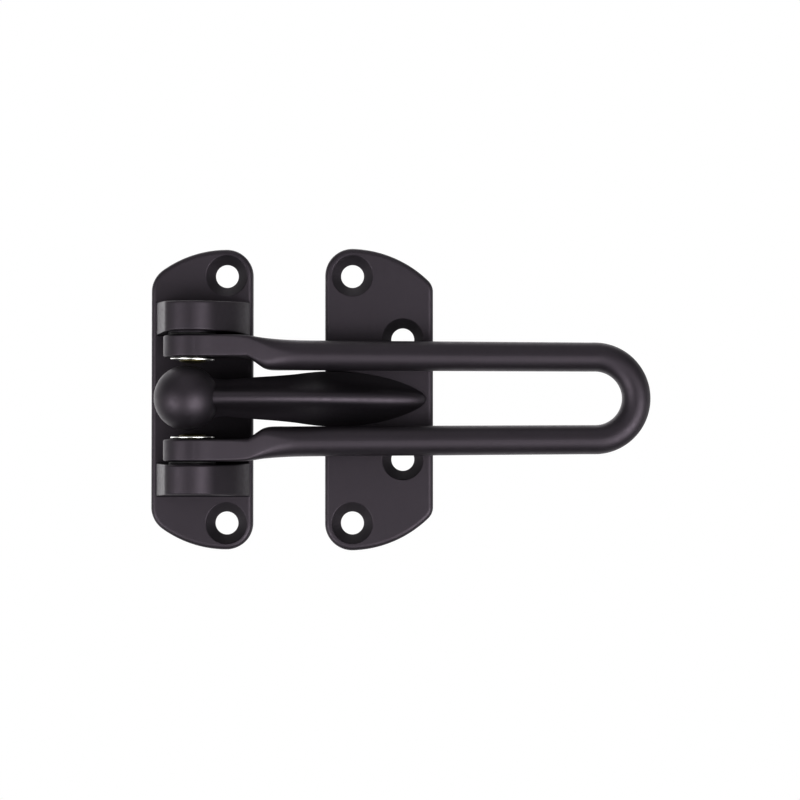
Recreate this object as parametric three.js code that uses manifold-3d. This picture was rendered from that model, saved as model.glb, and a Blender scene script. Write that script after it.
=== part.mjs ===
// Swing-bar door guard: a cast hinge plate with two lugs, a forged U-shaped bar that
// swings on two short pins in those lugs, and a cast plate whose horn carries a ball.
// Millimetres. +Z runs up the hinge axis, +X from the hinge plate to the ball plate,
// and the front of the guard faces -Y. The origin is the centre of the hinge plate's
// back face. Heights below are distances out from that back plane, along -Y.
import * as THREE from 'three';
import { mergeVertices } from 'three/addons/utils/BufferGeometryUtils.js';
import Module from 'manifold-3d';

// ---- plates ----
const PLATE_T = 4.0; // thickness of both plates
const PLATE_EDGE = 1.3; // rounding of their front edges
const HOLE_D = 6.2; // clearance hole for a No. 12 flat-head screw
const SINK_D = 11.1; // countersink rim
const SINK_ANGLE = 82; // countersink, included angle in degrees
const HINGE_HOLES = [[6.57, 33.2], [6.57, -33.2]]; // X, Z
const BALL_PLATE_X = 47.47; // centre of the ball plate
const BALL_HOLES = [[-7.15, 33.2], [-7.15, -33.2], [6.4, 16.1], [6.4, -16.1]]; // from that centre
// Each plate's outline: a corner round the top screw hole, a long arc from there, and a small far corner.
// The ball plate's is drawn the other way round, from its own centre, and mirrored.
const HINGE_OUTLINE = { hole: [6.57, 33.2], rHole: 7.05, bigR: 29.5, tilt: 90.0, rCorner: 7.2, outerX: -13.62 };
const BALL_OUTLINE = { hole: [7.15, 33.2], rHole: 7.3, bigR: 30.3, tilt: 91.9, rCorner: 4.2, outerX: -14.5 };

// ---- hinge ----
const PIVOT_X = -1.83;
const PIVOT_H = 12.7; // height of the hinge axis
const LUG_IN = 17.2; // |Z| of a lug's inner face at the plate
const LUG_OUT = 25.9; // |Z| of its outer face there
const LUG_DRAFT = 0.5; // each face leans in by this much at the top
const LUG_R = 8.8; // dome about the hinge axis
const LUG_DOME = [141.5, 40]; // angles where the dome meets the flat left facet and the right flank
const LUG_FOOT_X = -12.28; // foot of the left facet
const LUG_FLANK = [[12.87, 4.0], [12.57, 5.4], [11.82, 8.0], [10.32, 11.2], [8.07, 14.6]]; // X, height
const LUG_EDGE = 0.45;
const SEAT_R = 6.4; // machined seat for the friction washer, level with LUG_IN
const PIN_R = 2.4;
const FACETS = 24;
const BORE_R = 2.47; // bar eyes and lug sockets; its flats clear the pin by 0.05
const PIN_IN = 9.25; // |Z| of the peened tail
const PIN_OUT = 23.2; // |Z| of the buried end
const PEEN_R = 3.6;
const PEEN_T = 0.85;
const RETAINER = { r: 5.9, hole: 2.6, z0: 10.15, z1: 10.6 }; // washer between tail and eye
const FRICTION = { r: 6.2, hole: 2.6, z0: 16.79, z1: 17.2 }; // washer between eye and lug

// ---- swing bar ----
const EYE_R = 7.75;
const EYE_IN = 10.85; // |Z| of an eye's inner face
const EYE_OUT = 16.72; // |Z| of its outer face
const BEND_X = 104.72; // centre of the round end
const BEND_R = 10.95; // centreline radius there
const ROD_TIP_R = 3.77;
// Stations of one leg: X, inner |Z|, outer |Z|, half height, corner radius of the section.
const LEG = [
  [-1.83, 10.88, 16.69, 7.55, 0.65],
  [4.12, 10.88, 16.69, 6.97, 0.67],
  [9.12, 10.88, 16.68, 6.28, 0.75],
  [12.72, 10.78, 16.58, 5.78, 1.0],
  [14.22, 9.95, 16.36, 5.57, 1.3],
  [15.72, 8.88, 16.12, 5.36, 1.7],
  [17.22, 7.95, 15.92, 5.13, 2.2],
  [18.92, 7.53, 15.78, 4.86, 2.8],
  [21.82, 7.44, 15.58, 4.45, 3.5],
  [25.12, 7.44, 15.44, 4.14, 3.9],
  [29.12, 7.42, 15.36, 3.99, 4.0],
  [63.12, 7.24, 15.1, 3.94, 4.0],
  [102.12, 7.1, 14.8, 3.85, 4.0],
];

// ---- ball and horn ----
const BALL = { x: -3.08, h: 17.2, r: 8.6 };
// Stations of the horn: X, half width, ridge height, height of the widest point, underside, ridge radius.
const HORN = [
  [-3.08, 5.0, 21.8, 16.4, 12.2, 2.3],
  [3.72, 5.35, 21.85, 16.2, 12.0, 2.2],
  [5.32, 4.95, 21.85, 16.1, 11.8, 2.1],
  [7.32, 4.86, 21.8, 15.9, 11.6, 2.0],
  [9.12, 5.02, 21.7, 15.7, 11.3, 2.0],
  [14.12, 5.48, 21.3, 14.8, 10.4, 1.95],
  [20.12, 5.92, 20.5, 13.4, 9.0, 1.9],
  [25.12, 6.4, 19.5, 11.8, 7.4, 1.9],
  [29.12, 6.95, 18.5, 10.0, 5.6, 1.9],
  [33.12, 7.3, 17.2, 7.9, 3.2, 1.9],
  [36.12, 7.3, 16.1, 6.3, 2.0, 1.95],
  [40.12, 7.05, 14.6, 4.9, 2.0, 2.0],
  [44.32, 6.65, 12.9, 4.3, 2.0, 2.1],
  [48.12, 6.0, 11.3, 4.1, 2.0, 2.2],
  [51.62, 5.1, 9.8, 4.0, 2.0, 2.25],
  [54.62, 4.1, 8.45, 3.9, 2.0, 2.2],
  [57.12, 3.05, 7.1, 3.8, 2.0, 2.0],
  [58.72, 2.25, 5.9, 3.6, 2.0, 1.6],
  [59.62, 1.6, 4.9, 3.3, 2.0, 1.2],
  [60.12, 0.8, 3.9, 3.0, 2.0, 0.7],
];

const wasm = await Module();
wasm.setup();

const black = { color: 0x2e2a2d, roughness: 0.45, metalness: 0.5 };
const steel = { color: 0xc8cacc, roughness: 0.25, metalness: 1.0 };
const yellow = { color: 0x8d7f55, roughness: 0.4, metalness: 1.0 };
const dark = { color: 0x161618, roughness: 0.6, metalness: 0.2 };

// A closed three.js geometry as a solid, turned inside out if its faces point inwards.
function solid(geometry) {
  const bare = new THREE.BufferGeometry();
  bare.setAttribute('position', geometry.getAttribute('position').clone());
  if (geometry.index) bare.setIndex(geometry.index.clone());
  const g = mergeVertices(bare, 1e-4);
  const p = g.getAttribute('position').array;
  const raw = g.index.array;
  const tris = [];
  for (let i = 0; i < raw.length; i += 3) {
    const [a, b, c] = [raw[i], raw[i + 1], raw[i + 2]];
    if (a !== b && b !== c && a !== c) tris.push(a, b, c);
  }
  let v = 0;
  for (let i = 0; i < tris.length; i += 3) {
    const [a, b, c] = [tris[i] * 3, tris[i + 1] * 3, tris[i + 2] * 3];
    v += p[a] * (p[b + 1] * p[c + 2] - p[b + 2] * p[c + 1])
      + p[a + 1] * (p[b + 2] * p[c] - p[b] * p[c + 2])
      + p[a + 2] * (p[b] * p[c + 1] - p[b + 1] * p[c]);
  }
  if (v < 0) for (let i = 0; i < tris.length; i += 3) [tris[i], tris[i + 1]] = [tris[i + 1], tris[i]];
  return new wasm.Manifold(new wasm.Mesh({
    numProp: 3,
    vertProperties: new Float32Array(p),
    triVerts: new Uint32Array(tris),
  }));
}

function mesh(name, body, look) {
  const m = body.getMesh();
  const g = new THREE.BufferGeometry();
  g.setAttribute('position', new THREE.BufferAttribute(new Float32Array(m.vertProperties), 3));
  g.setIndex(new THREE.BufferAttribute(new Uint32Array(m.triVerts), 1));
  g.computeVertexNormals();
  const out = new THREE.Mesh(g, new THREE.MeshStandardMaterial(look));
  out.name = name;
  return out;
}

// Cylinder between two heights along Z, about the hinge axis unless another centre is given.
function rodZ(r, z0, z1, x = PIVOT_X, h = PIVOT_H, n = FACETS) {
  const g = new THREE.CylinderGeometry(r, r, Math.abs(z1 - z0), n);
  g.rotateX(Math.PI / 2);
  g.translate(x, -h, (z0 + z1) / 2);
  return solid(g);
}

// Profile [radius, |Z|] turned about the hinge axis, on the upper (1) or lower (-1) side.
function turned(profile, side, n = FACETS) {
  const g = new THREE.LatheGeometry(profile.map(([r, z]) => new THREE.Vector2(r, z)), n);
  g.rotateX((side * Math.PI) / 2);
  g.translate(PIVOT_X, -PIVOT_H, 0);
  return solid(g);
}

// Rings of equal length joined into a closed skin, with a flat cap at each end.
function skin(rings) {
  const n = rings[0].length;
  const pos = [];
  const idx = [];
  for (const ring of rings) for (const q of ring) pos.push(q.x, q.y, q.z);
  for (let i = 0; i + 1 < rings.length; i++) {
    for (let k = 0; k < n; k++) {
      const a = i * n + k;
      const b = i * n + ((k + 1) % n);
      idx.push(a, b, a + n, b, b + n, a + n);
    }
  }
  for (const end of [0, rings.length - 1]) {
    const mid = new THREE.Vector3();
    for (const q of rings[end]) mid.addScaledVector(q, 1 / n);
    const c = pos.length / 3;
    pos.push(mid.x, mid.y, mid.z);
    for (let k = 0; k < n; k++) {
      const a = end * n + k;
      const b = end * n + ((k + 1) % n);
      if (end === 0) idx.push(c, b, a);
      else idx.push(c, a, b);
    }
  }
  const g = new THREE.BufferGeometry();
  g.setAttribute('position', new THREE.Float32BufferAttribute(pos, 3));
  g.setIndex(idx);
  return solid(g);
}

// n + 1 points on an arc, angles in degrees.
function arc(cx, cz, r, a0, a1, n) {
  return Array.from({ length: n + 1 }, (_, i) => {
    const t = ((a0 + ((a1 - a0) * i) / n) * Math.PI) / 180;
    return [cx + r * Math.cos(t), cz + r * Math.sin(t)];
  });
}

function halfOutline({ hole: [hx, hz], rHole, bigR, tilt, rCorner, outerX }) {
  const t = (tilt * Math.PI) / 180;
  const bx = hx - (bigR - rHole) * Math.cos(t);
  const bz = hz - (bigR - rHole) * Math.sin(t);
  const cx = outerX + rCorner;
  const cz = bz + Math.sqrt((bigR - rCorner) ** 2 - (cx - bx) ** 2);
  const meet = (Math.atan2(cz - bz, cx - bx) * 180) / Math.PI;
  return [
    ...arc(hx, hz, rHole, 0, tilt, 8),
    ...arc(bx, bz, bigR, tilt, meet, 10).slice(1),
    ...arc(cx, cz, rCorner, meet, 180, 5).slice(1),
  ];
}

// Plate from the upper half of its outline, mirrored in Z, with screw holes.
function plate(outline, cx, flip, holes) {
  const top = halfOutline(outline).map(([x, z]) => [flip * x, z]);
  const pts = [...top, ...[...top].reverse().map(([x, z]) => [x, -z])];
  const shape = new THREE.Shape(pts.map(([x, z]) => new THREE.Vector2(x + cx, z)));
  const g = new THREE.ExtrudeGeometry(shape, {
    depth: PLATE_T, bevelEnabled: true, bevelThickness: PLATE_EDGE, bevelSize: PLATE_EDGE,
    bevelOffset: -PLATE_EDGE, bevelSegments: 3, curveSegments: 8,
  });
  g.translate(0, 0, -PLATE_EDGE);
  g.rotateX(Math.PI / 2);
  const behind = new THREE.BoxGeometry(200, 20, 200);
  behind.translate(0, 10, 0);
  let body = solid(g).subtract(solid(behind));
  const sink = (SINK_D - HOLE_D) / 2 / Math.tan((SINK_ANGLE * Math.PI) / 360);
  for (const [x, z] of holes) {
    const drill = new THREE.LatheGeometry([
      [0, -1], [HOLE_D / 2, -1], [HOLE_D / 2, PLATE_T - sink], [SINK_D / 2, PLATE_T],
      [SINK_D / 2, PLATE_T + 1], [0, PLATE_T + 1],
    ].map(([r, h]) => new THREE.Vector2(r, h)), FACETS);
    drill.rotateX(Math.PI);
    drill.translate(cx + x, 0, z);
    body = body.subtract(solid(drill));
  }
  return body;
}

// Side profile of a lug: flat left facet, dome about the axis, longer right flank.
function lug(side) {
  const pts = [
    [LUG_FLANK[0][0], 2.5], ...LUG_FLANK,
    ...arc(PIVOT_X, PIVOT_H, LUG_R, LUG_DOME[1], LUG_DOME[0], 12),
    [LUG_FOOT_X, PLATE_T], [LUG_FOOT_X, 2.5],
  ];
  const shape = new THREE.Shape(pts.map(([x, h]) => new THREE.Vector2(x, h)));
  const width = LUG_OUT - LUG_IN;
  const g = new THREE.ExtrudeGeometry(shape, {
    depth: width - 2 * LUG_EDGE, bevelEnabled: true, bevelThickness: LUG_EDGE, bevelSize: LUG_EDGE,
    bevelOffset: -LUG_EDGE, bevelSegments: 1,
  });
  g.translate(0, 0, -(width - 2 * LUG_EDGE) / 2);
  const p = g.getAttribute('position');
  const top = PIVOT_H + LUG_R;
  for (let i = 0; i < p.count; i++) {
    const k = (p.getY(i) - PLATE_T) / (top - PLATE_T);
    p.setZ(i, p.getZ(i) * (1 - (k * 2 * LUG_DRAFT) / width));
  }
  g.rotateX(Math.PI);
  g.translate(0, 0, (side * (LUG_IN + LUG_OUT)) / 2);
  return solid(g);
}

function hingePlate() {
  let body = plate(HINGE_OUTLINE, 0, 1, HINGE_HOLES);
  for (const side of [1, -1]) {
    body = body.add(lug(side));
    body = body.add(turned([[0, LUG_IN], [SEAT_R, LUG_IN], [SEAT_R, LUG_IN + 1], [0, LUG_IN + 1]], side, 32));
  }
  for (const side of [1, -1]) body = body.subtract(rodZ(BORE_R, side * (LUG_IN - 3), side * (PIN_OUT + 0.3)));
  return body;
}

// Rounded rectangle about a centre, in the plane of two unit vectors. A large radius makes it an ellipse.
function ring(centre, u, v, a, b, r) {
  const ra = Math.min(r, a - 0.02);
  const rb = Math.min(r, b - 0.02);
  const out = [];
  for (const [su, sv, start] of [[1, 1, 0], [-1, 1, 90], [-1, -1, 180], [1, -1, 270]]) {
    for (let i = 0; i <= 4; i++) {
      const t = ((start + i * 22.5) * Math.PI) / 180;
      out.push(centre.clone()
        .addScaledVector(u, su * (a - ra) + ra * Math.cos(t))
        .addScaledVector(v, sv * (b - rb) + rb * Math.sin(t)));
    }
  }
  return out;
}

function swingBar() {
  const front = new THREE.Vector3(0, -1, 0);
  const rings = [];
  const leg = (side) => LEG.map(([x, zi, zo, hh, r]) => ring(
    new THREE.Vector3(x, -PIVOT_H, (side * (zi + zo)) / 2), new THREE.Vector3(0, 0, side), front, (zo - zi) / 2, hh, r,
  ));
  rings.push(...leg(1));
  for (let i = 0; i <= 14; i++) {
    const t = Math.PI / 2 - (Math.PI * i) / 14;
    const out = new THREE.Vector3(Math.cos(t), 0, Math.sin(t));
    const at = new THREE.Vector3(BEND_X, -PIVOT_H, 0).addScaledVector(out, BEND_R);
    const r = ROD_TIP_R + 0.08 * out.z * out.z;
    rings.push(ring(at, out, front, r, r, 4));
  }
  rings.push(...leg(-1).reverse());
  let body = skin(rings);
  for (const side of [1, -1]) {
    const c = 0.6;
    body = body.add(turned([
      [0, EYE_IN], [EYE_R - c, EYE_IN], [EYE_R, EYE_IN + c], [EYE_R, EYE_OUT - c], [EYE_R - c, EYE_OUT], [0, EYE_OUT],
    ], side, 36));
    body = body.subtract(rodZ(BORE_R, side * (EYE_IN - 2), side * (EYE_OUT + 2)));
  }
  return body;
}

// Half of a horn section, from the ridge down to the middle of the underside: ridge arc, slightly hollow flank,
// round underside.
function hornHalf(w, top, mid, low, r) {
  const drop = top - mid;
  let a = (72 * Math.PI) / 180;
  for (let i = 0; i < 60; i++) {
    const slope = Math.atan2(drop - r * (1 - Math.cos(a)), Math.max(w - r * Math.sin(a), 1e-3));
    a += (slope - a) * 0.5;
  }
  const z0 = r * Math.sin(a);
  const d0 = r * (1 - Math.cos(a));
  const pts = [];
  for (let i = 0; i <= 3; i++) pts.push([r * Math.sin((a * i) / 3), top - r * (1 - Math.cos((a * i) / 3))]);
  const sag = 0.035 * Math.hypot(w - z0, drop - d0);
  pts.push([(z0 + w) / 2 - sag * Math.sin(a), top - (d0 + drop) / 2 - sag * Math.cos(a)], [w, mid]);
  for (let i = 1; i <= 4; i++) {
    const t = (i * Math.PI) / 8;
    pts.push([i === 4 ? 0 : w * Math.cos(t), mid - (mid - low) * Math.sin(t)]);
  }
  return pts;
}

function ballPlate() {
  let body = plate(BALL_OUTLINE, BALL_PLATE_X, -1, BALL_HOLES);
  const rings = HORN.map(([x, w, top, mid, low, r]) => {
    const half = hornHalf(w, top, mid, low, r);
    const ringPts = [...half, ...half.slice(1, -1).reverse().map(([z, h]) => [-z, h])];
    return ringPts.map(([z, h]) => new THREE.Vector3(x, -h, z));
  });
  body = body.add(skin(rings));
  const ball = new THREE.SphereGeometry(BALL.r, 28, 18);
  ball.rotateZ(Math.PI / 2);
  ball.translate(BALL.x, -BALL.h, 0);
  return body.add(solid(ball));
}

function pin(side) {
  const e = PIN_IN;
  return turned([
    [0, e], [1.4, e + 0.05], [2.5, e + 0.2], [3.2, e + 0.4], [PEEN_R, e + 0.7], [PEEN_R, e + PEEN_T], [PIN_R, e + PEEN_T],
    [PIN_R, PIN_OUT - 0.4], [PIN_R - 0.4, PIN_OUT], [0, PIN_OUT],
  ], side);
}

function washer({ r, hole, z0, z1 }, side, n = 32) {
  return turned([[0, z0], [r, z0], [r, z1], [0, z1]], side, n)
    .subtract(rodZ(hole, side * (z0 - 1), side * (z1 + 1)));
}

const guard = new THREE.Group();
guard.add(mesh('hinge_plate', hingePlate(), black));
guard.add(mesh('upper_hinge_pin', pin(1), yellow));
guard.add(mesh('lower_hinge_pin', pin(-1), yellow));
guard.add(mesh('upper_friction_washer', washer(FRICTION, 1), dark));
guard.add(mesh('lower_friction_washer', washer(FRICTION, -1), dark));
guard.add(mesh('upper_retaining_washer', washer(RETAINER, 1), steel));
guard.add(mesh('lower_retaining_washer', washer(RETAINER, -1), steel));
guard.add(mesh('swing_bar', swingBar(), black));
guard.add(mesh('ball_plate', ballPlate(), black));

export default guard;
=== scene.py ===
"""Looks for the swing-bar door guard: smooth castings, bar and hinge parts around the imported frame."""
import math

import bpy
import numpy as np
from mathutils import Matrix, Vector


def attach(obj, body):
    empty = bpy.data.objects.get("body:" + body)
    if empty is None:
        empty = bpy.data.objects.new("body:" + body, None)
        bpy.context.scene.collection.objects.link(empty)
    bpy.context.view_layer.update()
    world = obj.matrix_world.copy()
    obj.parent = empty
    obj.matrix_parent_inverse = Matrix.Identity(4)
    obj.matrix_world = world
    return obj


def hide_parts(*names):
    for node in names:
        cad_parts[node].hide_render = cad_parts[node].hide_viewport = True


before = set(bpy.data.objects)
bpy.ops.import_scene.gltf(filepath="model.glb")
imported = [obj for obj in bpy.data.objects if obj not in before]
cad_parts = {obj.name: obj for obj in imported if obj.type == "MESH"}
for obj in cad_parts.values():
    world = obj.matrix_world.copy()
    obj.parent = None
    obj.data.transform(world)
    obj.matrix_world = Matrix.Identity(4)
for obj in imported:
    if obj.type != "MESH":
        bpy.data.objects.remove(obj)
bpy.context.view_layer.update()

MM = 0.001

# ------------------------------------------------------------------ sizes, in millimetres, as in the frame
PLATE_T = 4.0
PLATE_R = 1.3
HOLE_R = 3.1
SINK_R = 5.55
SINK_DEG = 82.0
PIVOT_X, PIVOT_H = -1.83, 12.7
LUG_IN, LUG_OUT, LUG_DRAFT, LUG_R = 17.2, 25.9, 0.5, 8.8
SEAT_R = 6.4
PIN_R, BORE_R = 2.4, 2.47
PIN_IN, PIN_OUT, PEEN_R = 9.25, 23.2, 3.6
EYE_R, EYE_IN, EYE_OUT = 7.75, 10.85, 16.72
BEND_X, BEND_R, ROD_TIP_R = 104.72, 10.95, 3.77
BALL_X, BALL_H, BALL_R = -3.08, 17.2, 8.6
BALL_PLATE_X = 47.47


# ------------------------------------------------------------------ mesh helpers
def new_mesh(name, verts, faces):
    me = bpy.data.meshes.new(name)
    me.from_pydata([tuple(float(c) for c in v) for v in verts], [], faces)
    me.validate(clean_customdata=False)
    ob = bpy.data.objects.new(name, me)
    bpy.context.scene.collection.objects.link(ob)
    return ob


def outward(ob):
    """Turns the faces out, by the sign of the volume."""
    me = ob.data
    me.calc_loop_triangles()
    co = np.empty(len(me.vertices) * 3)
    me.vertices.foreach_get("co", co)
    co = co.reshape(-1, 3)
    tri = np.empty(len(me.loop_triangles) * 3, np.int32)
    me.loop_triangles.foreach_get("vertices", tri)
    a, b, c = co[tri.reshape(-1, 3)].transpose(1, 0, 2)
    if np.einsum("ij,ij->i", a, np.cross(b, c)).sum() < 0:
        me.flip_normals()
    return ob


def skin(name, rings, caps=True, wrap=False):
    """Rings of equal length joined into a skin. Points are (X, height, Z) in millimetres."""
    rings = np.asarray(rings, float)
    m, n, _ = rings.shape
    pts = rings.reshape(-1, 3)
    verts = np.stack([pts[:, 0], -pts[:, 1], pts[:, 2]], 1) * MM
    verts = [tuple(v) for v in verts]
    faces = []
    for i in range(m if wrap else m - 1):
        j = (i + 1) % m
        for k in range(n):
            l = (k + 1) % n
            faces.append((i * n + k, i * n + l, j * n + l, j * n + k))
    if caps and not wrap:
        faces.append(tuple(range(n - 1, -1, -1)))
        faces.append(tuple(range((m - 1) * n, m * n)))
    return outward(new_mesh(name, verts, faces))


def lathe(name, profile, axis, centre, n=96):
    """Profile of (radius, distance along axis) turned about an axis through centre. Ends on the axis close to a point."""
    verts, faces, rows = [], [], []
    for r, d in profile:
        if r < 1e-6:
            rows.append([len(verts)])
            verts.append((0.0, 0.0, d))
        else:
            rows.append(list(range(len(verts), len(verts) + n)))
            verts += [(r * math.cos(2 * math.pi * k / n), r * math.sin(2 * math.pi * k / n), d) for k in range(n)]
    for a, b in zip(rows, rows[1:]):
        for k in range(n):
            l = (k + 1) % n
            if len(a) == 1:
                faces.append((a[0], b[k], b[l]))
            elif len(b) == 1:
                faces.append((a[k], b[0], a[l]))
            else:
                faces.append((a[k], b[k], b[l], a[l]))
    if len(rows[0]) > 1 and len(rows[-1]) > 1:  # a ring: the profile closes on itself
        a, b = rows[-1], rows[0]
        for k in range(n):
            l = (k + 1) % n
            faces.append((a[k], b[k], b[l], a[l]))
    turn = Vector((0, 0, 1)).rotation_difference(Vector(axis)).to_matrix().to_4x4()
    place = Matrix.Translation(Vector((centre[0], -centre[1], centre[2])) * MM) @ turn @ Matrix.Scale(MM, 4)
    ob = new_mesh(name, [tuple(place @ Vector(v)) for v in verts], faces)
    return outward(ob)


def arc(cx, cy, r, a0, a1, n):
    """n + 1 points from angle a0 to a1, in degrees."""
    t = np.radians(np.linspace(a0, a1, n + 1))
    return [(cx + r * math.cos(a), cy + r * math.sin(a)) for a in t]


def split_caps(ob):
    """Every face of more than four corners is split into triangles, so a hole never sits inside one large face."""
    import bmesh

    bm = bmesh.new()
    bm.from_mesh(ob.data)
    bmesh.ops.triangulate(bm, faces=[f for f in bm.faces if len(f.verts) > 4], quad_method="BEAUTY", ngon_method="BEAUTY")
    bm.to_mesh(ob.data)
    bm.free()


def joined(target, others, operation):
    """Boolean of target with each of others, which are then removed. All of them are closed, and so is the result."""
    split_caps(target)
    for other in others:
        split_caps(other)
        mod = target.modifiers.new("b", "BOOLEAN")
        mod.solver = "MANIFOLD"
        mod.operation = operation
        mod.object = other
        bpy.context.view_layer.update()
        dg = bpy.context.evaluated_depsgraph_get()
        me = bpy.data.meshes.new_from_object(target.evaluated_get(dg), depsgraph=dg)
        target.modifiers.clear()
        old = target.data
        target.data = me
        bpy.data.meshes.remove(old)
        gone = other.data
        bpy.data.objects.remove(other)
        bpy.data.meshes.remove(gone)
        split_caps(target)
    target.data.name = target.name
    return target


def finish_mesh(ob, sharp_deg=32.0, flats=()):
    """flats lists (axis, place in mm) of the piece's flat faces. Each keeps a straight normal up to its border."""
    me = ob.data
    import bmesh

    bm = bmesh.new()
    bm.from_mesh(me)
    bmesh.ops.remove_doubles(bm, verts=bm.verts, dist=1.5e-6)
    bmesh.ops.dissolve_degenerate(bm, edges=bm.edges, dist=1e-6)
    bm.to_mesh(me)
    bm.free()
    me.polygons.foreach_set("use_smooth", [True] * len(me.polygons))
    me.set_sharp_from_angle(angle=math.radians(sharp_deg))
    if flats:
        co = np.empty(len(me.vertices) * 3)
        me.vertices.foreach_get("co", co)
        co = co.reshape(-1, 3)
        flat = set()
        for axis, place in flats:
            near = np.abs(co[:, axis] - place / 1000) < 3e-6
            flat |= {q.index for q in me.polygons if all(near[v] for v in q.vertices)}
        sides = {}
        for q in me.polygons:
            for key in q.edge_keys:
                sides.setdefault(key, []).append(q.index in flat)
        for e in me.edges:
            both = sides.get(tuple(sorted(e.vertices)), [])
            if len(both) == 2 and both[0] != both[1]:
                e.use_edge_sharp = True
    mod = ob.modifiers.new("normals", "WEIGHTED_NORMAL")
    mod.keep_sharp = True
    mod.weight = 90
    return ob


# ------------------------------------------------------------------ outlines of the two plates
def half_outline(hole, r_hole, big_r, tilt, r_corner, outer_x):
    """Upper half of a plate's outline as a list of arcs, from the hole's edge over the top to the far edge.
    The corner by the hole is concentric with it, and a long arc runs from there to the far corner."""
    hx, hz = hole
    u = (math.cos(math.radians(tilt)), math.sin(math.radians(tilt)))
    bx, bz = hx - (big_r - r_hole) * u[0], hz - (big_r - r_hole) * u[1]
    cx = outer_x + r_corner
    dz = math.sqrt((big_r - r_corner) ** 2 - (cx - bx) ** 2)
    cz = bz + dz
    meet = math.degrees(math.atan2(cz - bz, cx - bx))
    pts = arc(hx, hz, r_hole, 0, tilt, 26)
    pts += arc(bx, bz, big_r, tilt, meet, 40)[1:]
    pts += arc(cx, cz, r_corner, meet, 180, 16)[1:]
    return pts


def full_outline(half):
    pts = list(half)
    zs = half[-1][1]
    side = [(half[-1][0], z) for z in np.linspace(zs, -zs, 30)[1:-1]]
    pts += side
    pts += [(x, -z) for x, z in reversed(half)]
    zs = half[0][1]
    pts += [(half[0][0], z) for z in np.linspace(-zs, zs, 34)[1:-1]]
    return np.array(pts)


def offset(poly, d):
    """The closed outline moved inwards by d."""
    nxt, prv = np.roll(poly, -1, 0), np.roll(poly, 1, 0)
    t = nxt - prv
    t /= np.linalg.norm(t, axis=1)[:, None]
    inward = np.stack([-t[:, 1], t[:, 0]], 1)  # the outline runs anticlockwise
    return poly + inward * d


def plate_solid(name, outline):
    rows = []
    back = 0.25
    for a in np.radians(np.linspace(0, 90, 4)):
        rows.append((back * (1 - math.sin(a)), back * (1 - math.cos(a))))
    rows = [(d, h) for d, h in rows]
    for a in np.radians(np.linspace(0, 90, 13)):
        rows.append((PLATE_R * (1 - math.cos(a)), PLATE_T - PLATE_R + PLATE_R * math.sin(a)))
    rings = []
    for d, h in rows:
        p = offset(outline, d)
        rings.append(np.stack([p[:, 0], np.full(len(p), h), p[:, 1]], 1))
    return skin(name, rings)


def screw_cutter(x, z):
    """Hole and countersink, with its rim and throat slightly eased."""
    slope = math.radians(SINK_DEG / 2)
    depth = (SINK_R - HOLE_R) / math.tan(slope)
    throat = PLATE_T - depth
    prof = [(0, -1.0), (HOLE_R + 0.25, -1.0), (HOLE_R + 0.25, -0.001), (HOLE_R + 0.06, 0.14), (HOLE_R, 0.3), (HOLE_R, throat - 0.1)]
    prof += [(HOLE_R + 0.05, throat + 0.06)]
    r1 = SINK_R - 0.16
    prof += [(r1, PLATE_T - 0.16 / math.tan(slope))]
    for a in np.linspace(0.15, 1.0, 6):
        prof.append((r1 + 0.16 * a + 0.10 * a * a, PLATE_T - 0.16 / math.tan(slope) * (1 - a) - 0.012 * (1 - a)))
    prof += [(SINK_R + 0.22, PLATE_T + 0.02), (SINK_R + 0.3, PLATE_T + 1), (0, PLATE_T + 1)]
    return lathe("cut", prof, (0, -1, 0), (x, 0, z), 98)


# ------------------------------------------------------------------ lugs
def lug_profile():
    """X and height along a lug's top surface: a steep flat facet, the dome about the hinge axis, then a longer flank that steepens."""
    dome = [(PIVOT_X + LUG_R * math.cos(t), PIVOT_H + LUG_R * math.sin(t)) for t in np.radians(np.linspace(141.5, 40, 52))]
    x0, h0 = dome[0]
    foot_x, foot_h = -12.28, PLATE_T - 0.02
    left = [(foot_x + (x0 - foot_x) * t, foot_h + (h0 - foot_h) * t) for t in np.linspace(0, 1, 48)[:-1]]
    x1, h1 = dome[-1]
    knots = np.array([(foot_h, 12.87), (5.4, 12.57), (8.0, 11.82), (11.2, 10.32), (14.6, 8.07), (h1, x1)])
    hs = np.linspace(h1, foot_h, 30)[1:]
    right = [(x, h) for h, x in smooth_table(knots, hs)]
    pts = np.array(left + dome + right)
    # the crease between facet and dome is a soft one
    near = np.abs(np.arange(len(pts)) - len(left)) < 12
    near[:2] = False
    for _ in range(9):
        mean = (np.roll(pts, 1, 0) + 2 * pts + np.roll(pts, -1, 0)) / 4
        pts[near] = mean[near]
    return pts


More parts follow.
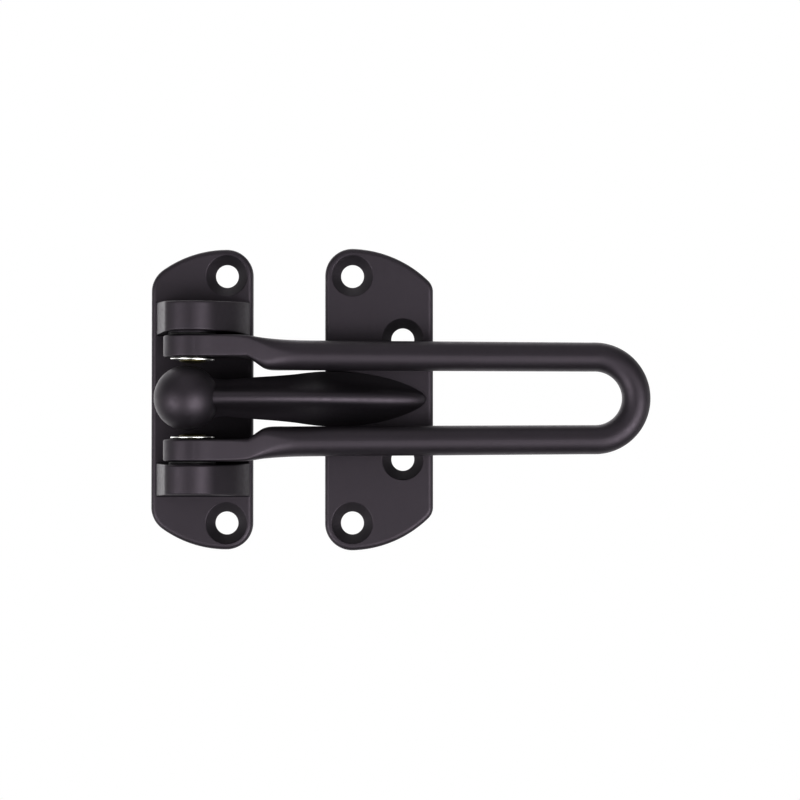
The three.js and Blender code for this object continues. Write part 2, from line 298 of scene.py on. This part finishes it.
def lug_solid(side):
    """Each point of the profile carries a path across the lug: foot fillet, drafted wall, rounded edge, top."""
    prof = lug_profile()
    rings = []
    r_top, r_foot = 0.55, 0.7
    full = PIVOT_H + LUG_R - PLATE_T
    mid = (LUG_IN + LUG_OUT) / 2
    half0 = (LUG_OUT - LUG_IN) / 2
    for x, h in prof:
        rise = max(h - PLATE_T, 0.0)
        k = min(1.0, rise / (r_top + r_foot + 0.2))
        rt, rf = r_top * k + 0.02, r_foot * k
        path = [(half0 + rf + 0.05, 2.5), (half0 + rf + 0.02, PLATE_T - 0.03)]
        base = min(h, PLATE_T)
        for a in np.radians(np.linspace(0, 90, 7)):
            path.append((half0 + rf * (1 - math.sin(a)), base + rf * (1 - math.cos(a)) - 0.02))
        wall_top = max(h - rt, base + rf)
        for t in np.linspace(0.2, 1, 5):
            hh = base + rf + (wall_top - base - rf) * t
            path.append((half0 - LUG_DRAFT * (hh - PLATE_T) / full, hh))
        zt = half0 - LUG_DRAFT * (h - PLATE_T) / full
        for a in np.radians(np.linspace(0, 90, 8))[1:]:
            path.append((zt - rt * (1 - math.cos(a)), h - rt + rt * math.sin(a)))
        row = [(x, hh, mid + z) for z, hh in path] + [(x, hh, mid - z) for z, hh in reversed(path)]
        rings.append(row)
    rings = np.array(rings)
    rings[:, :, 2] *= side
    return skin("lug", rings)


# ------------------------------------------------------------------ castings
def hinge_plate():
    half = half_outline((6.57, 33.2), 7.05, 29.5, 90.0, 7.2, -13.62)
    ob = plate_solid("hinge_plate_casting", full_outline(half))
    joined(ob, [lug_solid(1), lug_solid(-1)], "UNION")
    seats = []
    for side in (1, -1):
        prof = [(0, LUG_IN), (SEAT_R - 0.12, LUG_IN), (SEAT_R, LUG_IN + 0.12), (SEAT_R + 0.05, LUG_IN + 1.0), (0, LUG_IN + 1.0)]
        seats.append(lathe("seat", prof, (0, 0, side), (PIVOT_X, PIVOT_H, 0), 120))
    joined(ob, seats, "UNION")
    cuts = [screw_cutter(6.57, 33.2), screw_cutter(6.57, -33.2)]
    for side in (1, -1):
        z0, z1 = LUG_IN - 3, PIN_OUT + 0.3
        cuts.append(lathe("bore", [(0, z0), (BORE_R, z0), (BORE_R, z1), (0, z1)], (0, 0, side), (PIVOT_X, PIVOT_H, 0), 72))
    joined(ob, cuts, "DIFFERENCE")
    return finish_mesh(ob, flats=[(1, 0), (1, -PLATE_T)] + [(2, k * LUG_IN) for k in (-1, 1)] + [(2, k * (LUG_IN + 1.0)) for k in (-1, 1)])


HORN = np.array([
    # X, half width, ridge, widest height, underside, ridge radius
    [-3.08, 5.0, 21.8, 16.4, 12.2, 2.3],
    [3.72, 5.35, 21.85, 16.2, 12.0, 2.2],
    [5.32, 4.95, 21.85, 16.1, 11.8, 2.1],
    [7.32, 4.86, 21.8, 15.9, 11.6, 2.0],
    [9.12, 5.02, 21.7, 15.7, 11.3, 2.0],
    [14.12, 5.48, 21.3, 14.8, 10.4, 1.95],
    [20.12, 5.92, 20.5, 13.4, 9.0, 1.9],
    [25.12, 6.4, 19.5, 11.8, 7.4, 1.9],
    [29.12, 6.95, 18.5, 10.0, 5.6, 1.9],
    [33.12, 7.3, 17.2, 7.9, 3.2, 1.9],
    [36.12, 7.3, 16.1, 6.3, 2.0, 1.95],
    [40.12, 7.05, 14.6, 4.9, 2.0, 2.0],
    [44.32, 6.65, 12.9, 4.3, 2.0, 2.1],
    [48.12, 6.0, 11.3, 4.1, 2.0, 2.2],
    [51.62, 5.1, 9.8, 4.0, 2.0, 2.25],
    [54.62, 4.1, 8.45, 3.9, 2.0, 2.2],
    [57.12, 3.05, 7.1, 3.8, 2.0, 2.0],
    [58.72, 2.25, 5.9, 3.6, 2.0, 1.6],
    [59.62, 1.6, 4.9, 3.3, 2.0, 1.2],
    [60.12, 0.8, 3.9, 3.0, 2.0, 0.7],
])


def smooth_table(table, xs):
    """Each column of a table against its first one, by a shape-preserving cubic."""
    x = table[:, 0]
    out = [xs]
    for c in range(1, table.shape[1]):
        y = table[:, c]
        h = np.diff(x)
        d = np.diff(y) / h
        m = np.zeros_like(y)
        for i in range(1, len(x) - 1):
            if d[i - 1] * d[i] > 0:
                w1, w2 = 2 * h[i] + h[i - 1], h[i] + 2 * h[i - 1]
                m[i] = (w1 + w2) / (w1 / d[i - 1] + w2 / d[i])
        m[0], m[-1] = d[0], d[-1]
        k = np.clip(np.searchsorted(x, xs, side="right") - 1, 0, len(x) - 2)
        t = (xs - x[k]) / h[k]
        out.append((2 * t**3 - 3 * t**2 + 1) * y[k] + (t**3 - 2 * t**2 + t) * h[k] * m[k]
                   + (-2 * t**3 + 3 * t**2) * y[k + 1] + (t**3 - t**2) * h[k] * m[k + 1])
    return np.stack(out, 1)


def horn_section(w, top, mid, low, r, n_arc=9, n_flank=9, n_under=12):
    """Half of a section, from the ridge to the middle of the underside: ridge arc, slightly hollow flank, round underside."""
    drop = top - mid
    # the ridge arc ends where its tangent meets the widest point
    a = math.radians(72)
    for _ in range(60):
        z0, d0 = r * math.sin(a), r * (1 - math.cos(a))
        slope = math.atan2(drop - d0, max(w - z0, 1e-3))
        a += (slope - a) * 0.5
    z0, d0 = r * math.sin(a), r * (1 - math.cos(a))
    pts = [(r * math.sin(t), top - r * (1 - math.cos(t))) for t in np.linspace(0, a, n_arc)]
    length = math.hypot(w - z0, drop - d0)
    nz, nh = -math.sin(a), -math.cos(a)  # into the metal
    for t in np.linspace(0, 1, n_flank + 1)[1:]:
        sag = 0.035 * length * math.sin(math.pi * t) ** 2
        pts.append((z0 + (w - z0) * t + nz * sag, top - d0 - (drop - d0) * t + nh * sag))
    for t in np.linspace(0, math.pi / 2, n_under + 1)[1:]:
        pts.append((w * math.cos(t), mid - (mid - low) * math.sin(t)))
    return pts


def horn_solid():
    xs = np.concatenate([np.linspace(HORN[0, 0], 33, 92), np.linspace(33, 57, 60)[1:], np.linspace(57, HORN[-1, 0], 22)[1:]])
    rings = []
    for x, w, top, mid, low, r in smooth_table(HORN, xs):
        half = horn_section(w, top, mid, low, r)
        ring = [(x, h, z) for z, h in half] + [(x, h, -z) for z, h in reversed(half[1:-1])]
        rings.append(ring)
    return skin("horn", rings)


def ball_solid():
    prof = [(BALL_R * math.sin(a), -BALL_R * math.cos(a)) for a in np.linspace(0, math.pi, 73)]
    prof[0], prof[-1] = (0, -BALL_R), (0, BALL_R)
    return lathe("ball", prof, (-1, 0, 0), (BALL_X, BALL_H, 0), 120)


def ball_plate():
    # drawn the other way round, then mirrored: its screw corner is on the left
    half = half_outline((7.15, 33.2), 7.3, 30.3, 91.9, 4.2, -14.5)
    poly = full_outline(half)
    poly = np.stack([BALL_PLATE_X - poly[:, 0], poly[:, 1]], 1)[::-1]
    ob = plate_solid("ball_plate_casting", poly)
    joined(ob, [horn_solid()], "UNION")
    joined(ob, [ball_solid()], "UNION")
    cuts = [screw_cutter(BALL_PLATE_X + x, z) for x, z in ((-7.15, 33.2), (-7.15, -33.2), (6.4, 16.1), (6.4, -16.1))]
    joined(ob, cuts, "DIFFERENCE")
    return finish_mesh(ob, flats=[(1, 0), (1, -PLATE_T)])


# ------------------------------------------------------------------ swing bar
LEG = np.array([
    # X, inner |Z|, outer |Z|, half height, corner radius
    [-1.83, 10.86, 16.71, 7.6, 0.65],
    [-0.75, 10.86, 16.71, 7.64, 0.65],
    [4.12, 10.86, 16.71, 6.97, 0.67],
    [9.12, 10.86, 16.7, 6.28, 0.75],
    [12.72, 10.78, 16.58, 5.78, 1.0],
    [14.22, 9.95, 16.36, 5.57, 1.3],
    [15.72, 8.88, 16.12, 5.36, 1.7],
    [17.22, 7.95, 15.92, 5.13, 2.2],
    [18.92, 7.53, 15.78, 4.86, 2.8],
    [21.82, 7.44, 15.58, 4.45, 3.5],
    [25.12, 7.44, 15.44, 4.14, 3.9],
    [29.12, 7.42, 15.36, 3.99, 4.0],
    [63.12, 7.24, 15.10, 3.94, 4.0],
    [102.12, 7.1, 14.8, 3.85, 4.0],
])
ARC_N, FLAT_N = 14, 2


def rounded_ring(cx, ch, cz, ux, uz, a, b, r):
    """Rounded rectangle: half width a along (ux, uz), half height b, corner radius r, which may pass either to make an ellipse."""
    ra, rb = min(r, a - 0.02), min(r, b - 0.02)
    out = []
    corners = [(a - ra, b - rb, 0), (-(a - ra), b - rb, 90), (-(a - ra), -(b - rb), 180), (a - ra, -(b - rb), 270)]
    for i, (cu, cv, start) in enumerate(corners):
        arc_pts = [(cu + ra * math.cos(t), cv + rb * math.sin(t)) for t in np.radians(np.linspace(start, start + 90, ARC_N + 1))]
        out += arc_pts
        nu, nv, nstart = corners[(i + 1) % 4]
        t = math.radians(nstart)
        nxt = (nu + ra * math.cos(t), nv + rb * math.sin(t))
        last = arc_pts[-1]
        for k in range(1, FLAT_N + 1):
            f = k / (FLAT_N + 1)
            out.append((last[0] + (nxt[0] - last[0]) * f, last[1] + (nxt[1] - last[1]) * f))
    return np.array([(cx + ux * u, ch + v, cz + uz * u) for u, v in out])


def swing_bar():
    xs = np.concatenate([np.linspace(PIVOT_X, 12, 24), np.linspace(12, 26, 46)[1:], np.linspace(26, LEG[-1, 0], 26)[1:]])
    legs = smooth_table(LEG, xs)
    rings = [rounded_ring(x, PIVOT_H, (zi + zo) / 2, 0, 1, (zo - zi) / 2, hh, r) for x, zi, zo, hh, r in legs]
    for a in np.radians(np.linspace(90, -90, 61)):
        ux, uz = math.cos(a), math.sin(a)
        r = ROD_TIP_R + 0.08 * uz * uz
        rings.append(rounded_ring(BEND_X + BEND_R * ux, PIVOT_H, BEND_R * uz, ux, uz, r, r, 4.0))
    for x, zi, zo, hh, r in legs[::-1]:
        rings.append(rounded_ring(x, PIVOT_H, -(zi + zo) / 2, 0, -1, (zo - zi) / 2, hh, r))
    ob = skin("swing_bar_forging", rings)
    eyes, cuts = [], []
    for side in (1, -1):
        r = 0.65
        prof = [(0, EYE_IN)]
        prof += [(EYE_R - r + r * math.sin(a), EYE_IN + r - r * math.cos(a)) for a in np.linspace(0, math.pi / 2, 9)]
        prof += [(EYE_R - r + r * math.cos(a), EYE_OUT - r + r * math.sin(a)) for a in np.linspace(0, math.pi / 2, 9)]
        prof += [(0, EYE_OUT)]
        eyes.append(lathe("eye", prof, (0, 0, side), (PIVOT_X, PIVOT_H, 0), 144))
        z0, z1 = EYE_IN - 2, EYE_OUT + 2
        cuts.append(lathe("bore", [(0, z0), (BORE_R, z0), (BORE_R, z1), (0, z1)], (0, 0, side), (PIVOT_X, PIVOT_H, 0), 72))
    joined(ob, eyes, "UNION")
    joined(ob, cuts, "DIFFERENCE")
    return finish_mesh(ob, flats=[(2, k * z) for k in (-1, 1) for z in (EYE_IN, EYE_OUT)])


# ------------------------------------------------------------------ pins and washers
def pin(side, name):
    e = PIN_IN
    prof = [(0, e)]
    for t in np.linspace(0.08, 1, 16):  # low dome, hammered over the washer
        a = t * math.pi / 2
        prof.append((PEEN_R * math.sin(a), e + 0.72 * (1 - math.cos(a))))
    prof += [(PEEN_R - 0.02, e + 0.8), (PEEN_R - 0.1, e + 0.85), (PIN_R, e + 0.85), (PIN_R, PIN_OUT - 0.4), (PIN_R - 0.4, PIN_OUT), (0, PIN_OUT)]
    ob = lathe(name, prof, (0, 0, side), (PIVOT_X, PIVOT_H, 0), 96)
    return finish_mesh(ob, 40)


def washer(side, name, r, hole, z0, z1, ease=0.08, tilt=0.0):
    prof = [(hole, z0 + ease), (hole + ease, z0), (r - ease, z0), (r - 0.25 * ease, z0 + 0.35 * ease), (r, z0 + 1.2 * ease),
            (r, z1 - 1.2 * ease), (r - 0.25 * ease, z1 - 0.35 * ease), (r - ease, z1), (hole + ease, z1), (hole, z1 - ease)]
    ob = lathe(name, prof, (0, 0, side), (PIVOT_X, PIVOT_H, 0), 128)
    if tilt:
        mid = Vector((PIVOT_X, -PIVOT_H, side * (z0 + z1) / 2)) * MM
        ob.data.transform(Matrix.Translation(mid) @ Matrix.Rotation(math.radians(tilt), 4, "Y") @ Matrix.Translation(-mid))
    return finish_mesh(ob, 40)


# ------------------------------------------------------------------ materials
def nodes_of(name):
    m = bpy.data.materials.new(name)
    m.use_nodes = True
    nt = m.node_tree
    return m, nt, nt.nodes["Principled BSDF"], nt.nodes, nt.links


def satin_black():
    m, nt, p, N, L = nodes_of("satin_black_coating")
    tc = N.new("ShaderNodeTexCoord")
    broad = N.new("ShaderNodeTexNoise"); broad.inputs["Scale"].default_value = 55; broad.inputs["Detail"].default_value = 4
    fine = N.new("ShaderNodeTexNoise"); fine.inputs["Scale"].default_value = 2600; fine.inputs["Detail"].default_value = 3
    peel = N.new("ShaderNodeTexNoise"); peel.inputs["Scale"].default_value = 700; peel.inputs["Detail"].default_value = 2
    for t in (broad, fine, peel):
        L.new(tc.outputs["Object"], t.inputs["Vector"])
    col = N.new("ShaderNodeValToRGB")
    col.color_ramp.elements[0].position, col.color_ramp.elements[1].position = 0.3, 0.72
    col.color_ramp.elements[0].color = (0.0024, 0.0020, 0.0027, 1)
    col.color_ramp.elements[1].color = (0.0042, 0.0035, 0.0046, 1)
    L.new(broad.outputs["Fac"], col.inputs["Fac"])
    L.new(col.outputs["Color"], p.inputs["Base Color"])
    rough = N.new("ShaderNodeMapRange")
    rough.inputs["From Min"].default_value, rough.inputs["From Max"].default_value = 0.3, 0.7
    rough.inputs["To Min"].default_value, rough.inputs["To Max"].default_value = 0.46, 0.54
    L.new(peel.outputs["Fac"], rough.inputs["Value"])
    L.new(rough.outputs["Result"], p.inputs["Roughness"])
    b1 = N.new("ShaderNodeBump"); b1.inputs["Strength"].default_value = 0.10; b1.inputs["Distance"].default_value = 0.00004
    b2 = N.new("ShaderNodeBump"); b2.inputs["Strength"].default_value = 0.12; b2.inputs["Distance"].default_value = 0.00008
    L.new(fine.outputs["Fac"], b1.inputs["Height"])
    L.new(peel.outputs["Fac"], b2.inputs["Height"])
    L.new(b2.outputs["Normal"], b1.inputs["Normal"])
    L.new(b1.outputs["Normal"], p.inputs["Normal"])
    p.inputs["IOR"].default_value = 1.5
    p.inputs["Specular Tint"].default_value = (0.99, 0.865, 1.0, 1)
    # painted shade: an ambient occlusion node turns the coating's gloss down in deep recesses, darkening them where
    # shade falls
    painted_recess_shade = N.new("ShaderNodeAmbientOcclusion"); painted_recess_shade.samples = 8
    painted_recess_shade.inputs["Distance"].default_value = 0.022
    level = N.new("ShaderNodeMapRange")
    level.inputs["From Min"].default_value, level.inputs["From Max"].default_value = 0.12, 0.62
    level.inputs["To Min"].default_value, level.inputs["To Max"].default_value = 0.1, 0.5
    L.new(painted_recess_shade.outputs["AO"], level.inputs["Value"])
    L.new(level.outputs["Result"], p.inputs["Specular IOR Level"])
    return m


def metal(name, base, rough, grain, bump=0.15):
    m, nt, p, N, L = nodes_of(name)
    tc = N.new("ShaderNodeTexCoord")
    mp = N.new("ShaderNodeMapping"); mp.inputs["Scale"].default_value = grain
    L.new(tc.outputs["Object"], mp.inputs["Vector"])
    no = N.new("ShaderNodeTexNoise"); no.inputs["Scale"].default_value = 900; no.inputs["Detail"].default_value = 4
    L.new(mp.outputs["Vector"], no.inputs["Vector"])
    mix = N.new("ShaderNodeMix"); mix.data_type = "RGBA"
    mix.inputs["A"].default_value = (*[c * 0.8 for c in base], 1)
    mix.inputs["B"].default_value = (*base, 1)
    L.new(no.outputs["Fac"], mix.inputs["Factor"])
    L.new(mix.outputs["Result"], p.inputs["Base Color"])
    r = N.new("ShaderNodeMapRange")
    r.inputs["To Min"].default_value, r.inputs["To Max"].default_value = rough - 0.06, rough + 0.1
    L.new(no.outputs["Fac"], r.inputs["Value"])
    L.new(r.outputs["Result"], p.inputs["Roughness"])
    b = N.new("ShaderNodeBump"); b.inputs["Strength"].default_value = bump; b.inputs["Distance"].default_value = 0.00003
    L.new(no.outputs["Fac"], b.inputs["Height"])
    L.new(b.outputs["Normal"], p.inputs["Normal"])
    p.inputs["Metallic"].default_value = 1.0
    return m


def dark_nylon():
    m, nt, p, N, L = nodes_of("matte_black_washer")
    tc = N.new("ShaderNodeTexCoord")
    no = N.new("ShaderNodeTexNoise"); no.inputs["Scale"].default_value = 1400; no.inputs["Detail"].default_value = 3
    L.new(tc.outputs["Object"], no.inputs["Vector"])
    mix = N.new("ShaderNodeMix"); mix.data_type = "RGBA"
    mix.inputs["A"].default_value = (0.006, 0.006, 0.0065, 1)
    mix.inputs["B"].default_value = (0.012, 0.012, 0.0125, 1)
    L.new(no.outputs["Fac"], mix.inputs["Factor"])
    L.new(mix.outputs["Result"], p.inputs["Base Color"])
    p.inputs["Roughness"].default_value = 0.6
    b = N.new("ShaderNodeBump"); b.inputs["Strength"].default_value = 0.2; b.inputs["Distance"].default_value = 0.00004
    L.new(no.outputs["Fac"], b.inputs["Height"])
    L.new(b.outputs["Normal"], p.inputs["Normal"])
    return m


BLACK = satin_black()
STEEL = metal("bright_plated_steel", (0.78, 0.78, 0.76), 0.24, (1, 1, 12))
# painted shade: the pin metal's yellow-olive tint is the brass's own, but its base colour is kept far darker than
# bright brass to stand in for the shade the pin tails sit in between lug and eye
BRASS = metal("yellow_pin_metal", (0.10, 0.088, 0.045), 0.42, (1, 1, 1))
NYLON = dark_nylon()


def put(ob, material, body, node):
    ob.data.materials.clear()
    ob.data.materials.append(material)
    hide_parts(node)
    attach(ob, body)
    return ob


put(hinge_plate(), BLACK, "frame_side", "hinge_plate")
put(ball_plate(), BLACK, "door_side", "ball_plate")
put(swing_bar(), BLACK, "bar", "swing_bar")
for side, word in ((1, "upper"), (-1, "lower")):
    put(pin(side, word + "_pin"), BRASS, "frame_side", word + "_hinge_pin")
    put(washer(side, word + "_washer_dark", 6.2, 2.6, 16.79, 17.2), NYLON, "frame_side", word + "_friction_washer")
    put(washer(side, word + "_washer_bright", 5.9, 2.6, 10.17, 10.58, tilt=1.5 if side > 0 else 0.0), STEEL, "frame_side", word + "_retaining_washer")


# ------------------------------------------------------------------ floor, light and camera
def stage_plane(name, size, z, colour):
    s = size / 2
    ob = new_mesh(name, [(-s, -s, z), (s, -s, z), (s, s, z), (-s, s, z)], [(0, 1, 2, 3)])
    m = bpy.data.materials.new(name)
    m.use_nodes = True
    p = m.node_tree.nodes["Principled BSDF"]
    p.inputs["Base Color"].default_value = (*colour, 1)
    p.inputs["Roughness"].default_value = 0.9
    p.inputs["Emission Color"].default_value = (*colour, 1)
    p.inputs["Emission Strength"].default_value = 0.8
    ob.data.materials.append(m)
    # the soft light below the horizon comes through it
    ob.visible_diffuse = ob.visible_glossy = ob.visible_shadow = False
    return ob


floor = stage_plane("floor", 6.0, -0.62, (0.86, 0.86, 0.86))

# Soft light as a few broad patches round the object: azimuth from the front, elevation, tightness, strength.
PATCHES = [
    (-47, -17, 20, 10.2),
    (-33, -24, 18, 2.8),
    (33, -21, 19, 13.8),
    (46, -17, 20, 4.5),
    (-112, -4, 7, 1.1),
    (115, 0, 7, 1.6),
    (0, 55, 7, 1.9),
    (-145, 0, 7, 2.0),
    (-135, 45, 7, 0.7),
    (180, 45, 7, 2.6),
    (180, -45, 7, 2.0),
]
FILL = 0.01

world = bpy.data.worlds.new("studio")
bpy.context.scene.world = world
world.use_nodes = True
wn, wl = world.node_tree.nodes, world.node_tree.links
bg = wn["Background"]
bg.inputs["Color"].default_value = (1, 1, 1, 1)
coords = wn.new("ShaderNodeTexCoord")


def math_node(operation, *values):
    n = wn.new("ShaderNodeMath")
    n.operation = operation
    for i, v in enumerate(values):
        if isinstance(v, (int, float)):
            n.inputs[i].default_value = v
        else:
            wl.new(v, n.inputs[i])
    return n.outputs[0]


total = math_node("ADD", FILL, 0.0)
for az, el, tight, strength in PATCHES:
    a, e = math.radians(az), math.radians(el)
    dot = wn.new("ShaderNodeVectorMath")
    dot.operation = "DOT_PRODUCT"
    dot.inputs[1].default_value = (math.sin(a) * math.cos(e), -math.cos(a) * math.cos(e), math.sin(e))
    wl.new(coords.outputs["Generated"], dot.inputs[0])
    lobe = math_node("EXPONENT", math_node("MULTIPLY_ADD", dot.outputs["Value"], float(tight), -float(tight)))
    total = math_node("MULTIPLY_ADD", lobe, float(strength), total)
# what the camera sees behind the object is plain white
seen = wn.new("ShaderNodeLightPath").outputs["Is Camera Ray"]
level = wn.new("ShaderNodeMix")
wl.new(seen, level.inputs["Factor"])
wl.new(total, level.inputs["A"])
level.inputs["B"].default_value = 1.0
wl.new(level.outputs["Result"], bg.inputs["Strength"])

cam_data = bpy.data.cameras.new("camera")
cam = bpy.data.objects.new("camera", cam_data)
bpy.context.scene.collection.objects.link(cam)
cam_data.sensor_width = 36
cam_data.lens = 117.5
cam.location = (0.05312, -0.704, -0.0192)
aim = Vector((0.05312, -0.004, -0.0002))
cam.rotation_euler = (aim - cam.location).to_track_quat("-Z", "Y").to_euler()
bpy.context.scene.camera = cam

bpy.context.scene.view_settings.view_transform = "Standard"
bpy.context.scene.view_settings.look = "None"
bpy.context.scene.view_settings.gamma = 0.8
